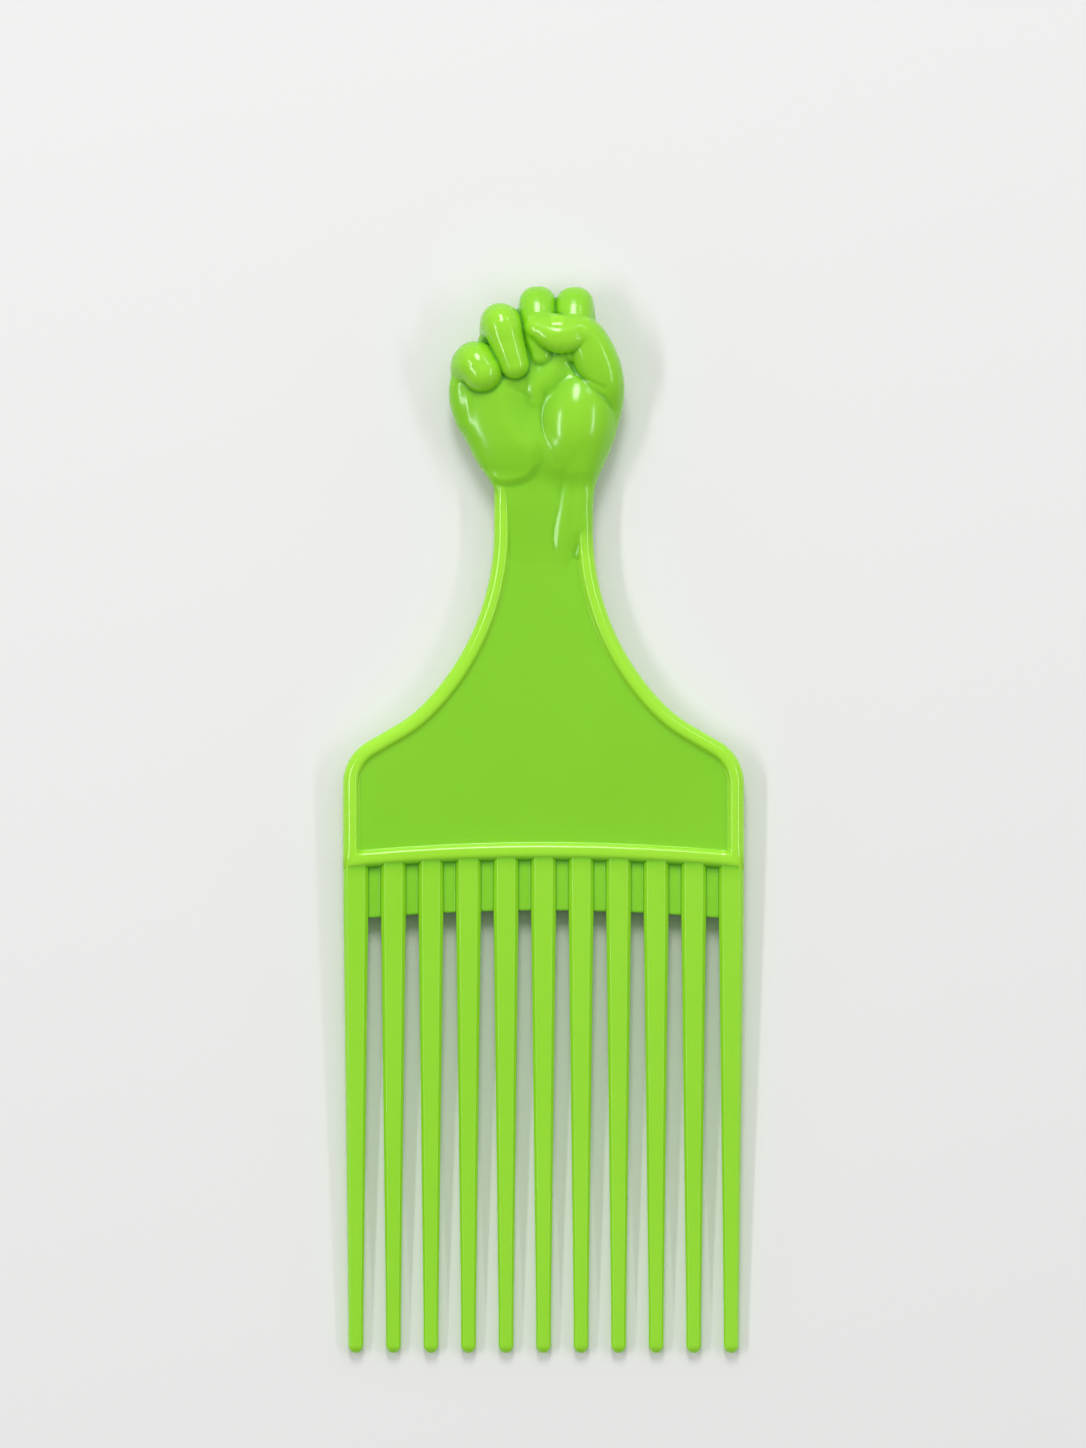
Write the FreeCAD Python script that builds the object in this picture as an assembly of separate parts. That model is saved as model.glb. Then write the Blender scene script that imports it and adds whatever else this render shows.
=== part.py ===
"""Afro pick with a closed-hand grip, in millimetres.

The pick is a single injection moulding. It is divided here where its forms meet, so that each tooth, the rim
bead, the panel and each part of the hand is a solid of its own, and neighbours touch face to face.
X runs across the teeth, Y from the tooth tips to the knuckles, and Z out of the palm side. The pick lies on the
back of its hand, so Z is zero there.
"""

import FreeCAD
import Part

import math
import os

Vector = FreeCAD.Vector

# Whole pick
body_width = 72.8
body_length = 68.05  # from the middle of the crossbar's lower edge to the heel of the hand
hand_back_depth = 5.0  # from the parting plane to the back of the hand

# Rim bead, panel and crossbar
neck_half_width = 9.0
neck_length = 8.1  # straight part below the heel of the hand
flare_turn = 44.0  # degrees
toe_turn = 16.0  # degrees
# Radii of the side's three curves, in shares of the distance from the neck's side to the body's side
flare_radius_share = 1.642
toe_radius_share = 0.876
shoulder_radius_share = 0.321
rim_width = 2.6
rim_thickness = 4.6
rim_outer_fillet = 1.2
rim_inner_fillet = 0.8
panel_thickness = 2.4
crossbar_width = 3.0
crossbar_rise = 1.8  # height of the arch in the crossbar, from its ends to its middle

# Teeth
tooth_count = 11
tooth_length = 89.3  # from the middle of the crossbar's lower edge to the tips
tooth_gap = 2.11  # between neighbouring teeth at their roots
tooth_tip_width = 2.8
tooth_root_thickness = 4.0
tooth_tip_thickness = 2.4
tooth_root_bevel = 0.7  # how far each side slopes out from the flat to the parting plane
tooth_tip_bevel = 0.45
tooth_corner_radius = 0.35
root_straight_length = 8.5  # first stretch below the crossbar, with no taper
tip_straight_length = 7.3  # last stretch before the tips, with no taper
tip_dome_length = 1.5
web_depth = 9.0  # how far the thin web hangs below the crossbar between the teeth
web_thickness = 1.8

# Hand
hand_length = 36.15
hand_width = 31.8
hand_front_depth = 8.1  # from the parting plane to the top of the thumb
hand_centre_x = -1.27
nail_length = 2.6
nail_width = 2.0
nail_depth = 0.5
tendon_length = 23.0
tendon_width = 5.0
tendon_rise = 1.3  # above the rim's crest
wrist_gap = 3.4  # flat wrist between the ramp and the heel of the hand
ramp_length = 12.0  # where the panel rises to the wrist

# Tools
overrun = 1.0  # how far a cutting shape passes the face that it cuts
touch_tolerance = 0.001  # within which two faces count as one
ball_tolerance = 0.01  # the same, for the ball that two stretches of a finger share

# Lengths and levels
overall_length = tooth_length + body_length + hand_length
side_reach = body_width / 2 - neck_half_width
flare_radius = side_reach * flare_radius_share
toe_radius = side_reach * toe_radius_share
shoulder_radius = side_reach * shoulder_radius_share
tip_y = -overall_length / 2
crossbar_y = tip_y + tooth_length
knuckle_y = overall_length / 2
heel_y = knuckle_y - hand_length
half_width = body_width / 2
tooth_root_width = (body_width - tooth_gap * (tooth_count - 1)) / tooth_count
tooth_pitch = tooth_root_width + tooth_gap

# The hand's forms, in shares of its length: X from its middle, Y from its heel, Z from the parting plane.
# Its own extents come first, so that its width and its two depths can be set apart from its length.
hand_width_share = 0.880
front_depth_share = 0.223
back_depth_share = 0.138
# Cross-sections of the palm and the back of the hand: Y, left side, right side, palm side, back side
core_shares = (
    (0.000, -0.218, 0.287, 0.075, 0.072),
    (0.080, -0.275, 0.302, 0.125, 0.098),
    (0.240, -0.362, 0.370, 0.151, 0.116),
    (0.420, -0.432, 0.430, 0.144, 0.128),
    (0.580, -0.420, 0.410, 0.130, 0.126),
    (0.730, -0.305, 0.325, 0.105, 0.112),
    (0.850, -0.205, 0.255, 0.065, 0.080),
    (0.910, -0.120, 0.225, 0.030, 0.040),
)
core_squareness = 2.5  # exponent of the superellipse, where 2 is an ellipse
core_points = 20
# Balls that each finger is drawn round: X, Y, Z, radius. A finger's first ball is its knuckle, whose Z follows
# from its radius, because the pick lies on its knuckles.
digit_shares = {
    "little_finger": (
        (-0.291, 0.612, 0, 0.095),
        (-0.321, 0.592, 0.020, 0.110),
        (-0.301, 0.612, 0.095, 0.110),
        (-0.261, 0.577, 0.110, 0.105),
    ),
    "ring_finger": (
        (-0.151, 0.758, 0, 0.095),
        (-0.181, 0.818, 0.030, 0.095),
        (-0.176, 0.813, 0.110, 0.100),
        (-0.105, 0.607, 0.136, 0.078),
    ),
    "middle_finger": (
        (0.025, 0.828, 0, 0.095),
        (0.005, 0.907, 0.025, 0.093),
        (0.015, 0.793, 0.070, 0.088),
        (0.020, 0.658, 0.085, 0.060),
    ),
    "index_finger": (
        (0.206, 0.808, 0, 0.095),
        (0.191, 0.905, 0.025, 0.095),
        (0.186, 0.803, 0.070, 0.090),
        (0.166, 0.678, 0.060, 0.080),
    ),
}
thumb_shares = (
    (0.311, 0.422, 0.040, 0.115),
    (0.311, 0.532, 0.060, 0.126),
    (0.271, 0.658, 0.075, 0.120),
    (0.221, 0.753, 0.095, 0.095),
    (0.100, 0.768, 0.120, 0.100),
    (0.005, 0.803, 0.120, 0.083),
)
thumb_root_count = 3  # balls before the thumb's bent joint
dome_angles = (0, 22, 42, 60, 76)  # where the rings of a rounded end lie on a quarter circle
footprint_corner_count = 18  # of the polygon round each ball's place on the palm
# Creases between neighbouring fingers, each from its palm end to its top: X, Y
crease_shares = {
    ("little_finger", "ring_finger"): ((-0.165, 0.520), (-0.320, 0.760)),
    ("ring_finger", "middle_finger"): ((-0.020, 0.540), (-0.100, 0.960)),
    ("middle_finger", "index_finger"): ((0.098, 0.500), (0.098, 1.000)),
}
thumb_floor_share = 0.055  # Z where the end of the thumb lies on the fingers
mound_shares = (0.206, 0.311, 0.050, 0.200, 0.230, 0.150)  # X, Y and Z of the thumb's root, and its half sizes
nail_tilt = 39.0  # degrees that the nail faces up from the palm side
tendon_share = 0.125  # middle of the tendon, from the hand's middle
tendon_lean = 9.0  # degrees


def place(x, y, z):
    """The point at these shares of the hand, with the heel of the hand at Y zero."""
    depth = hand_front_depth / front_depth_share if z > 0 else hand_back_depth / back_depth_share
    return Vector(hand_centre_x + x * hand_width / hand_width_share, y * hand_length, z * depth)


class Path:
    """Edges drawn one after another in the XY plane, from a point and a heading in degrees."""

    def __init__(self, x, y, heading):
        self.point = Vector(x, y, 0)
        self.heading = heading
        self.edges = []

    def line(self, length):
        angle = math.radians(self.heading)
        end = self.point + Vector(math.cos(angle), math.sin(angle), 0) * length
        self.edges.append(Part.LineSegment(self.point, end).toShape())
        self.point = end

    def arc(self, radius, turn):
        """Turns left by a positive angle and right by a negative one."""
        side = math.copysign(1, turn)
        angle = math.radians(self.heading)
        centre = self.point + Vector(-math.sin(angle), math.cos(angle), 0) * radius * side
        spoke = self.point - centre
        axis = Vector(0, 0, 1)
        middle = centre + FreeCAD.Rotation(axis, turn / 2).multVec(spoke)
        end = centre + FreeCAD.Rotation(axis, turn).multVec(spoke)
        self.edges.append(Part.Arc(self.point, middle, end).toShape())
        self.point = end
        self.heading += turn


def side_edges(inset, bottom_y):
    """Right side of the body from the heel of the hand down to bottom_y, moved in by inset."""
    full_turn = flare_turn + toe_turn
    flare, toe, full = (math.radians(a) for a in (flare_turn, toe_turn, full_turn))
    flare_reach = flare_radius * (1 - math.cos(flare))
    toe_reach = toe_radius * (math.cos(flare) - math.cos(full))
    shoulder_reach = shoulder_radius * (1 - math.cos(full))
    slope_reach = side_reach - flare_reach - toe_reach - shoulder_reach
    path = Path(neck_half_width - inset, heel_y, -90)
    path.line(neck_length)
    path.arc(flare_radius + inset, flare_turn)
    path.arc(toe_radius + inset, toe_turn)
    path.line(slope_reach / math.sin(full))
    path.arc(shoulder_radius - inset, -full_turn)
    path.line(path.point.y - bottom_y)
    return path.edges


def mirrored(shape):
    return shape.mirror(Vector(0, 0, 0), Vector(1, 0, 0))


def arch(y, reach):
    """The crossbar's curve, as high as y in the middle, out to reach on each side."""
    drop = crossbar_rise * (reach / half_width) ** 2
    return Part.Arc(Vector(-reach, y - drop, 0), Vector(0, y, 0), Vector(reach, y - drop, 0)).toShape()


def plan(edges, thickness):
    """A plate of this thickness about the parting plane, with this outline."""
    face = Part.Face(Part.Wire(Part.__sortEdges__(edges)))
    plate = face.extrude(Vector(0, 0, thickness))
    plate.translate(Vector(0, 0, -thickness / 2))
    return plate


def body_plan(inset, arch_y, top_y, thickness):
    """The body's outline moved in by inset, from the arch up to top_y."""
    reach = half_width - inset
    base = arch(arch_y, reach)
    corner_y = base.Vertexes[0].Point.y
    right = side_edges(inset, corner_y)
    start = right[0].Vertexes[0].Point
    edges = right + [mirrored(edge) for edge in right] + [base]
    top_x = neck_half_width - inset
    if top_y > start.y:
        right_top = Vector(top_x, top_y, 0)
        left_top = Vector(-top_x, top_y, 0)
        edges.append(Part.LineSegment(start, right_top).toShape())
        edges.append(Part.LineSegment(Vector(-start.x, start.y, 0), left_top).toShape())
        edges.append(Part.LineSegment(left_top, right_top).toShape())
    else:
        edges.append(Part.LineSegment(start, Vector(-start.x, start.y, 0)).toShape())
    return plan(edges, thickness)


def block(low_x, high_x, low_y, high_y, thickness):
    """A box about the parting plane."""
    corner = Vector(low_x, low_y, -thickness / 2)
    return Part.makeBox(high_x - low_x, high_y - low_y, thickness, corner)


def in_crest(edge, thickness):
    """True if the whole edge lies in the bead's front or back face."""
    box = edge.BoundBox
    flat = box.ZLength < overrun / 100
    return flat and abs(abs(box.Center.z) - thickness / 2) < overrun / 100


def rim_frame():
    """The bead all round the panel, open at the wrist, with rounded crests."""
    outside = body_plan(0, crossbar_y, heel_y, rim_thickness)
    opening = body_plan(rim_width, crossbar_y + crossbar_width, heel_y + overrun, rim_thickness + 2 * overrun)
    frame = outside.cut(opening)
    inner, outer = [], []
    for edge in frame.Edges:
        if not in_crest(edge, rim_thickness):
            continue
        middle = edge.valueAt((edge.FirstParameter + edge.LastParameter) / 2)
        if middle.y > heel_y - overrun / 10:
            continue
        near = Part.Vertex(middle.x, middle.y, 0)
        depth = outside_edge_distance(near)
        (outer if depth < rim_width / 2 else inner).append(edge)
    frame = frame.makeFillet(rim_outer_fillet, outer)
    inner = [edge for edge in frame.Edges if is_same_edge(edge, inner)]
    return frame.makeFillet(rim_inner_fillet, inner)


def outside_edge_distance(vertex):
    """How far a point of the parting plane lies from the body's outline."""
    right = side_edges(0, arch(crossbar_y, half_width).Vertexes[0].Point.y)
    outline = right + [mirrored(edge) for edge in right] + [arch(crossbar_y, half_width)]
    return min(edge.distToShape(vertex)[0] for edge in outline)


def is_same_edge(edge, others):
    """True if edge runs where one of the others does."""
    centre = edge.BoundBox.Center
    return any(
        (centre - other.BoundBox.Center).Length < overrun / 50
        and abs(edge.Length - other.Length) < rim_outer_fillet * 2
        for other in others
    )


def rim_pieces():
    """The frame divided into the crossbar with its corners and the two side rims."""
    frame = rim_frame()
    split_y = crossbar_y + crossbar_width + overrun
    wide = half_width + overrun
    thick = rim_thickness + overrun
    return {
        "crossbar": frame.common(block(-wide, wide, tip_y, split_y, thick)),
        "rim_left": frame.common(block(-wide, 0, split_y, knuckle_y, thick)),
        "rim_right": frame.common(block(0, wide, split_y, knuckle_y, thick)),
    }


def panel_and_wrist():
    """The flat panel inside the rim, and the ramp that lifts it to the level of the wrist."""
    ramp_y = heel_y - wrist_gap - ramp_length
    inside = body_plan(rim_width, crossbar_y + crossbar_width, heel_y, rim_thickness)
    wide = half_width + overrun
    panel = inside.common(block(-wide, wide, tip_y, ramp_y, panel_thickness))
    low, high = panel_thickness / 2, rim_thickness / 2
    top_y = heel_y - wrist_gap
    corners = [(ramp_y, -low), (top_y, -high), (heel_y, -high), (heel_y, high), (top_y, high), (ramp_y, low)]
    points = [Vector(-wide, y, z) for y, z in corners]
    side = Part.Face(Part.makePolygon(points + points[:1]))
    wrist = side.extrude(Vector(2 * wide, 0, 0)).common(inside)
    return panel, wrist


def tooth_section(y, width, thickness, bevel):
    """A six-sided section with its four front and back corners rounded, in the plane at y."""
    half_x, flat_x, half_z = width / 2, width / 2 - bevel, thickness / 2
    corners = [
        (half_x, 0, False),
        (flat_x, half_z, True),
        (-flat_x, half_z, True),
        (-half_x, 0, False),
        (-flat_x, -half_z, True),
        (flat_x, -half_z, True),
    ]
    radius = tooth_corner_radius * thickness / tooth_root_thickness
    points = [Vector(x, y, z) for x, z, _ in corners]
    ends = []
    for i, (_, _, is_round) in enumerate(corners):
        here, before, after = points[i], points[i - 1], points[(i + 1) % len(points)]
        if not is_round:
            ends.append((here, None, here))
            continue
        back = (before - here).normalize()
        ahead = (after - here).normalize()
        half_angle = back.getAngle(ahead) / 2
        trim = radius / math.tan(half_angle)
        bisector = (back + ahead).normalize()
        middle = here + bisector * (radius / math.sin(half_angle) - radius)
        ends.append((here + back * trim, middle, here + ahead * trim))
    edges = []
    for i, (first, middle, last) in enumerate(ends):
        if middle is not None:
            edges.append(Part.Arc(first, middle, last).toShape())
        following = ends[(i + 1) % len(ends)][0]
        edges.append(Part.LineSegment(last, following).toShape())
    return Part.Wire(edges)


def tooth(x):
    """The tooth at this place along the crossbar, with its upper end inside the bead."""
    top_y = crossbar_y - crossbar_rise * (x / half_width) ** 2 + rim_outer_fillet
    root = (tooth_root_width, tooth_root_thickness, tooth_root_bevel)
    tip = (tooth_tip_width, tooth_tip_thickness, tooth_tip_bevel)
    dome_y = tip_y + tip_dome_length
    sections = [
        tooth_section(top_y, *root),
        tooth_section(crossbar_y - root_straight_length, *root),
        tooth_section(tip_y + tip_straight_length, *tip),
        tooth_section(dome_y, *tip),
    ]
    shaft = Part.makeLoft(sections, True, True)
    rings = []
    for angle in dome_angles:
        shrink = math.cos(math.radians(angle))
        fall = math.sin(math.radians(angle)) / math.sin(math.radians(dome_angles[-1]))
        scale = FreeCAD.Matrix()
        scale.scale(Vector(shrink, 1, shrink))
        rings.append(tooth_section(dome_y - tip_dome_length * fall, *tip).transformGeometry(scale))
    whole = shaft.fuse(Part.makeLoft(rings, True, False)).removeSplitter()
    whole.translate(Vector(x, 0, 0))
    return whole


def tooth_row(crossbar):
    """Every tooth with its upper end fitted to the crossbar."""
    first_x = -(tooth_count - 1) * tooth_pitch / 2
    places = [first_x + i * tooth_pitch for i in range(tooth_count)]
    return {f"tooth_{i + 1:02d}": tooth(x).cut([crossbar], touch_tolerance) for i, x in enumerate(places)}


def tooth_webs(crossbar, teeth):
    """The thin plates between neighbouring teeth, below the crossbar."""
    reach = (tooth_count - 1) * tooth_pitch / 2
    low_arch, high_arch = arch(crossbar_y - web_depth, reach), arch(crossbar_y + overrun, reach)
    ends = [
        Part.LineSegment(low_arch.Vertexes[i].Point, high_arch.Vertexes[i].Point).toShape()
        for i in (0, 1)
    ]
    band = plan([low_arch, high_arch] + ends, web_thickness)
    return band.cut([crossbar] + teeth, touch_tolerance)


def core_section(y, left, right, front, back):
    """A closed superellipse square to the Y axis, with its own depth in front and behind."""
    points = []
    power = 2 / core_squareness
    for i in range(core_points):
        angle = 2 * math.pi * i / core_points
        c, s = math.cos(angle), math.sin(angle)
        x = (left + right) / 2 + (right - left) / 2 * math.copysign(abs(c) ** power, c)
        depth = front if s > 0 else back
        points.append(place(x, y, depth * math.copysign(abs(s) ** power, s)))
    curve = Part.BSplineCurve()
    curve.interpolate(Points=points, PeriodicFlag=True)
    return Part.Wire(curve.toShape())


def pod(start, start_radius, end, end_radius):
    """One solid of revolution: two balls with the cone that touches both."""
    axis = end - start
    reach = axis.Length
    lean = (start_radius - end_radius) / reach
    side = math.sqrt(1 - lean * lean)
    corners = [(-start_radius, 0), (start_radius * lean, start_radius * side)]
    corners += [(reach + end_radius * lean, end_radius * side), (reach + end_radius, 0)]
    foot, low, high, head = (Vector(radius, 0, along) for along, radius in corners)
    low_bulge = -start_radius * math.sqrt((1 - lean) / 2), start_radius * math.sqrt((1 + lean) / 2)
    high_bulge = reach + end_radius * math.sqrt((1 + lean) / 2), end_radius * math.sqrt((1 - lean) / 2)
    low_middle, high_middle = (Vector(radius, 0, along) for along, radius in (low_bulge, high_bulge))
    edges = [
        Part.Arc(foot, low_middle, low).toShape(),
        Part.LineSegment(low, high).toShape(),
        Part.Arc(high, high_middle, head).toShape(),
        Part.LineSegment(head, foot).toShape(),
    ]
    solid = Part.Face(Part.Wire(edges)).revolve(Vector(0, 0, 0), Vector(0, 0, 1), 360)
    solid.Placement = FreeCAD.Placement(start, FreeCAD.Rotation(Vector(0, 0, 1), axis))
    return solid


def digit(balls):
    """A finger as a chain of pods, from (centre, radius) pairs."""
    pods = [pod(*first, *second) for first, second in zip(balls, balls[1:])]
    return pods[0].fuse(pods[1:], ball_tolerance)


def digit_balls(shares, is_finger):
    balls = [(place(x, y, z), r * hand_length) for x, y, z, r in shares]
    if is_finger:
        knuckle, radius = balls[0]
        knuckle.z = radius - hand_back_depth
    return balls


def footprint(balls, low_z, high_z):
    """An upright column round these balls, from low_z to high_z."""
    corners = []
    for centre, radius in balls:
        for i in range(footprint_corner_count):
            angle = 2 * math.pi * i / footprint_corner_count
            reach = radius / math.cos(math.pi / footprint_corner_count)
            corners.append((centre.x + reach * math.cos(angle), centre.y + reach * math.sin(angle)))
    corners.sort()
    hull = []
    for run in (corners, corners[::-1]):
        side = []
        for corner in run:
            while len(side) > 1 and turn_of(side[-2], side[-1], corner) <= 0:
                side.pop()
            side.append(corner)
        hull += side[:-1]
    points = [Vector(x, y, low_z) for x, y in hull]
    return Part.Face(Part.makePolygon(points + points[:1])).extrude(Vector(0, 0, high_z - low_z))


def turn_of(a, b, c):
    """Positive where the path from a through b to c turns left."""
    return (b[0] - a[0]) * (c[1] - a[1]) - (b[1] - a[1]) * (c[0] - a[0])


def beside(crease, side):
    """A thick slab on the left of a crease where side is 1, or on its right where side is -1."""
    foot, top = (place(x, y, 0) for x, y in crease)
    along = (top - foot).normalize()
    across = Vector(-along.y, along.x, 0) * side * hand_width
    reach = along * hand_length
    corners = [foot - reach, foot - reach + across, foot + reach + across, foot + reach]
    depth = Vector(0, 0, hand_front_depth + hand_back_depth)
    corners = [corner - depth for corner in corners]
    return Part.Face(Part.makePolygon(corners + corners[:1])).extrude(depth * 2)


def core_and_mound(columns):
    """The palm, the back of the hand and the root of the thumb, cut to make room for the columns."""
    core = Part.makeLoft([core_section(*row) for row in core_shares], True, False)
    core = core.cut(columns)
    x, y, z, half_x, half_y, half_z = mound_shares
    corner = place(half_x, half_y, half_z) - place(0, 0, 0)
    mound = ellipsoid(place(x, y, z), corner, 0)
    wide = body_width
    behind = block(-wide, wide, -overrun, hand_length + overrun, 2 * hand_back_depth)
    behind.translate(Vector(0, 0, -hand_back_depth))
    return {
        "hand_back": largest(core.common(behind)),
        "palm": largest(core.cut([behind, mound])),
        "thumb_base": mound.cut([behind] + columns),
    }


def largest(shape):
    """The main solid, without the crumbs that the cuts leave between the fingers."""
    return max(shape.Solids, key=lambda solid: solid.Volume)


def ellipsoid(centre, half_sizes, lean):
    """An ellipsoid turned by lean degrees about Z."""
    unit = Part.makeSphere(1)
    scale = FreeCAD.Matrix()
    scale.scale(half_sizes)
    shape = unit.transformGeometry(scale)
    shape.rotate(Vector(0, 0, 0), Vector(0, 0, 1), lean)
    shape.translate(centre)
    return shape


def hand_pieces():
    """The hand's solids by name, cut from each other by flat faces along its creases, then moved to the heel."""
    top, bottom = 2 * hand_front_depth, -2 * hand_back_depth
    thumb_balls = digit_balls(thumb_shares, False)
    thumb_root = footprint(thumb_balls[: thumb_root_count + 1], 0, top)
    thumb_floor = place(0, 0, thumb_floor_share).z
    thumb_end = footprint(thumb_balls[thumb_root_count:], thumb_floor, top)
    under_end = footprint(thumb_balls[thumb_root_count:], bottom, thumb_floor).cut(thumb_root)
    behind = footprint(thumb_balls, bottom, 0)
    thumb = digit(thumb_balls).cut([under_end, behind])
    columns = [thumb_root, thumb_end]
    pieces = {}
    for name, shares in digit_shares.items():
        balls = digit_balls(shares, True)
        neighbours = []
        for (left, right), crease in crease_shares.items():
            if name == left:
                neighbours.append(beside(crease, -1))
            if name == right:
                neighbours.append(beside(crease, 1))
        for column in (footprint(balls[:2], bottom, top), footprint(balls[1:], 0, top)):
            columns.append(column.cut(neighbours))
        pieces[name] = digit(balls).cut(neighbours + [thumb_root, thumb_end])
    cutter = thumb_nail_cutter(*thumb_balls[-2])
    pieces["thumb_nail"] = thumb.common(cutter)
    pieces["thumb"] = thumb.cut(cutter)
    pieces.update(core_and_mound(columns))
    for piece in pieces.values():
        piece.translate(Vector(0, heel_y, 0))
    return pieces


def thumb_nail_cutter(joint, radius):
    """A rounded block over the thumb's last joint, sunk into its surface by the depth of the nail."""
    height = hand_front_depth
    turned = FreeCAD.Rotation(Vector(1, 0, 0), -nail_tilt)
    box = Part.makeBox(nail_length, nail_width, height, Vector(-nail_length / 2, -nail_width / 2, -nail_depth))
    upright = [edge for edge in box.Edges if edge.BoundBox.ZLength > nail_depth]
    box = box.makeFillet(nail_width / 4, upright)
    box.Placement = FreeCAD.Placement(joint + turned.multVec(Vector(0, 0, radius)), turned)
    return box


def wrist_tendon(neighbours):
    """The long low swelling that runs from the thumb's root down the wrist."""
    middle = place(tendon_share, 0, 0) + Vector(0, heel_y - wrist_gap, rim_thickness / 2)
    swelling = ellipsoid(middle, Vector(tendon_width / 2, tendon_length / 2, tendon_rise), -tendon_lean)
    wide = body_width
    above = block(-wide, wide, heel_y, knuckle_y, 2 * hand_front_depth)
    return swelling.cut(neighbours + [above])


def all_pieces():
    pieces = rim_pieces()
    teeth = tooth_row(pieces["crossbar"])
    webs = tooth_webs(pieces["crossbar"], list(teeth.values()))
    panel, wrist = panel_and_wrist()
    tendon = wrist_tendon([panel, wrist, pieces["rim_right"]])
    pieces.update(teeth)
    pieces.update({"tooth_webs": webs, "panel": panel, "wrist": wrist, "wrist_tendon": tendon})
    pieces.update(hand_pieces())
    return pieces


def main():
    os.makedirs("parts", exist_ok=True)
    for name, shape in all_pieces().items():
        shape.translate(Vector(0, 0, hand_back_depth))
        solids = Part.makeCompound(shape.Solids)
        solids.exportStep(f"parts/{name}.step")
        box = solids.optimalBoundingBox(False)
        volumes = ", ".join(f"{solid.Volume:.1f}" for solid in shape.Solids)
        print(
            f"{name}: valid {solids.isValid()}, z {box.ZMin:.2f} to {box.ZMax:.2f},"
            f" y {box.YMin:.2f} to {box.YMax:.2f}, volumes {volumes}"
        )


if __name__ == "__main__":
    main()
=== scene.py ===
"""Looks of the afro pick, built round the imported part.

The moulding is drawn as a few smooth pieces: the hand and wrist as one sculpted form, the bead and panel as
one swept form, the teeth, and the webs between them. Their sizes are in millimetres until a mesh is made.
Lamps, camera and materials are in metres.
"""

import math

import bpy
import numpy as np
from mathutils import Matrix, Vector


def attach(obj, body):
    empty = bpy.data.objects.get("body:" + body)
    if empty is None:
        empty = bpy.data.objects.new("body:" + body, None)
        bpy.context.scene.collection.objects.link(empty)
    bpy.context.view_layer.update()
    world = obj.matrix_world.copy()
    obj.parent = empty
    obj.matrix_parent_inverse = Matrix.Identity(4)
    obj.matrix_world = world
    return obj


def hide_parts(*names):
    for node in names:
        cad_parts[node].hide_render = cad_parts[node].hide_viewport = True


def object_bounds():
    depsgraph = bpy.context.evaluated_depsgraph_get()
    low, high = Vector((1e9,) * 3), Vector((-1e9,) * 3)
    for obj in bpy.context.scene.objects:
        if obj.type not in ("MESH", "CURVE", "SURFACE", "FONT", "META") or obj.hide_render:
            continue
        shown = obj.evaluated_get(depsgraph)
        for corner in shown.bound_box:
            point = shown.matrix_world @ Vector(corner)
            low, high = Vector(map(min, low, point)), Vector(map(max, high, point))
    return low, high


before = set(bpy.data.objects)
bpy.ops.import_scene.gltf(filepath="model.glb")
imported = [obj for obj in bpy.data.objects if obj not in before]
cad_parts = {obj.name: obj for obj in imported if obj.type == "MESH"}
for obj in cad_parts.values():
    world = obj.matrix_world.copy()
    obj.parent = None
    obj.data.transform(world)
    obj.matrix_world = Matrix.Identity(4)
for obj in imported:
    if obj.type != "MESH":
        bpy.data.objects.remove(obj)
cad_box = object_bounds()

MM = 0.001

# The pick's main sizes, the first two from the frame and the rest as in the part
CAD_LOW, CAD_HIGH = cad_box
HALF_LENGTH = round(-CAD_LOW[1] / MM, 2)
HALF_WIDTH = round(CAD_HIGH[0] / MM, 2)
MID_Z = 5.0  # the parting plane
HEEL_Y = 60.6  # where the heel of the hand ends
CROSSBAR_Y = -7.45  # the middle of the crossbar's lower edge
CROSSBAR_RISE = 1.8  # height of the arch in it
CROSSBAR_WIDTH = 3.0
NECK_HALF_WIDTH = 9.0
NECK_LENGTH = 8.1  # straight part below the heel
FLARE_RADIUS = 44.99
FLARE_TURN = math.radians(44)
TOE_RADIUS = 24.0
TOE_TURN = math.radians(16)
SHOULDER_RADIUS = 8.8
RIM_WIDTH = 2.6
RIM_HALF = 2.3  # half the bead's thickness
PANEL_HALF = 1.2  # half the panel's thickness

ARC_STEP = math.radians(7)  # the most that an arc turns between two points


# Mesh helpers
def make_object(name, vertices, faces, material, smooth=True):
    """A mesh object at the origin from vertices in millimetres."""
    mesh = bpy.data.meshes.new(name)
    mesh.from_pydata((np.asarray(vertices) * MM).tolist(), [], [list(map(int, face)) for face in faces])
    mesh.polygons.foreach_set("use_smooth", [smooth] * len(mesh.polygons))
    mesh.update()
    mesh.materials.append(material)
    thing = bpy.data.objects.new(name, mesh)
    bpy.context.scene.collection.objects.link(thing)
    return thing


def set_lightness(thing, values):
    """How much painted light or painted shade the plastic's colour has at each vertex.

    1 is full painted light, as on the beads, 0 the plain colour where it is flat, -1 full painted shade deep in
    a valley.
    """
    layer = thing.data.attributes.new("painted_light_and_shade", "FLOAT", "POINT")
    spread_out = np.broadcast_to(values, len(thing.data.vertices))
    layer.data.foreach_set("value", spread_out.astype(float).ravel())


def corner_arc(before, here, after, radius, steps=None):
    """Points of an arc that rounds the corner at here, in the given steps or as many as its turn needs."""
    back, ahead = before - here, after - here
    back, ahead = back / np.linalg.norm(back), ahead / np.linalg.norm(ahead)
    half = math.acos(np.clip(back @ ahead, -1, 1)) / 2
    trim = radius / math.tan(half)
    first, last = here + back * trim, here + ahead * trim
    centre = here + (back + ahead) / np.linalg.norm(back + ahead) * radius / math.sin(half)
    turn = math.pi - 2 * half
    if steps is None:
        steps = max(2, math.ceil(turn / ARC_STEP))
    points = []
    for k in range(steps + 1):
        t = k / steps
        spoke = (first - centre) * math.sin((1 - t) * turn) + (last - centre) * math.sin(t * turn)
        points.append(centre + spoke / math.sin(turn))
    return points


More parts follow.
